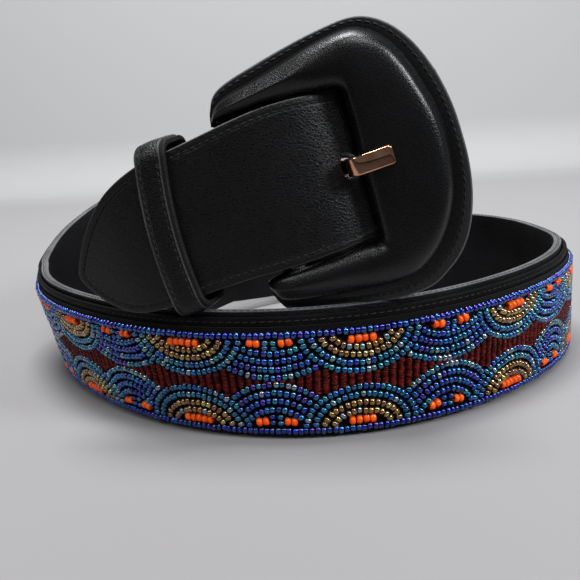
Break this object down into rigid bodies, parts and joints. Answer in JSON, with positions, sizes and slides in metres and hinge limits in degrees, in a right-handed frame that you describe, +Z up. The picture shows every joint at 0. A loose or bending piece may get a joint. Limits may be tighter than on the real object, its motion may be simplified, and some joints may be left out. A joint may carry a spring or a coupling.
{
  "type": "beaded belt",
  "caption": "Leather belt with a beaded scallop panel, padded covered buckle, flat metal prong and stitched keeper, fastened and coiled.",
  "frame": {"origin": "middle of the footprint on the floor", "axes": "+Z up, -Y towards the buckle and the viewer, +X to the viewer's right"},
  "size_m": [0.2002, 0.1748, 0.1109],
  "materials": {
    "body_strap": "black smooth leather with a stitched edge",
    "buckle_strap": "black smooth leather",
    "billet": "black pebbled leather, stitched along the edge",
    "panel_base": "dark leather strip with black felt",
    "bead_panel": "glossy seed beads in blue, teal, gold, orange and dark red",
    "buckle_frame": "black padded leather cover, stitched flange",
    "buckle_bar": "plain steel",
    "prong": "polished pale rose metal",
    "keeper": "black leather, stitched along both edges"
  },
  "bodies": {
    "root": {"body_strap": "body_strap", "buckle_strap": "buckle_strap", "billet": "billet", "panel_base": "panel_base", "bead_panel": "bead_panel", "buckle_frame": "buckle_frame", "buckle_bar": "buckle_bar", "prong": "prong", "keeper": "keeper"}
  },
  "joints": []
}
